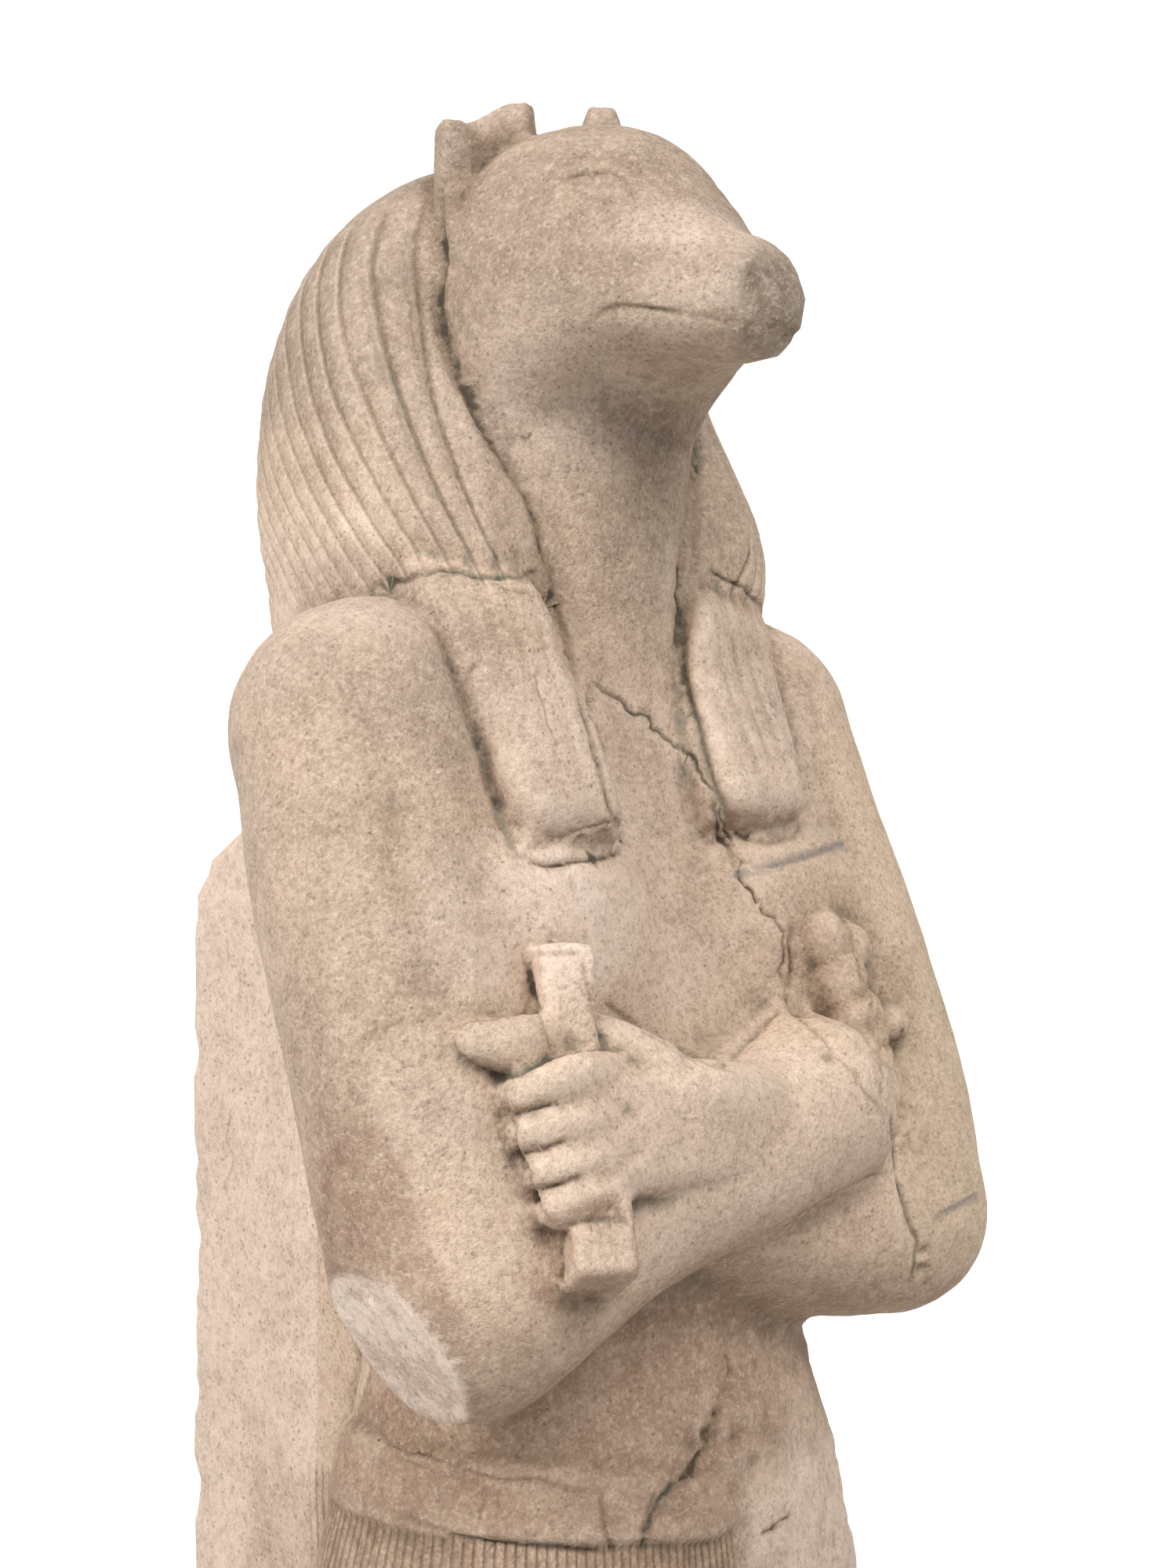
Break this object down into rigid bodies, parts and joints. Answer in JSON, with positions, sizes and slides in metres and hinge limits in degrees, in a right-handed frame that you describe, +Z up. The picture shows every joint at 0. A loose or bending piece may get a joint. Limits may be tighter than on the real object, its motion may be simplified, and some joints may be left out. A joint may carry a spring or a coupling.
{
  "type": "anubis figure",
  "caption": "Weathered limestone jackal-headed standing figure with crossed arms, striated wig, belted kilt, back pillar and low base.",
  "frame": {"origin": "centre of the underside of the base, which rests on the floor", "axes": "+Z up; the figure faces -Y, its right hand is on the -X side and the back pillar is on the +Y side"},
  "size_m": [0.384, 0.556, 1.5004],
  "materials": {
    "limestone": "matt, weathered limestone"
  },
  "bodies": {
    "root": {"anubis_figure": "limestone"}
  },
  "joints": []
}
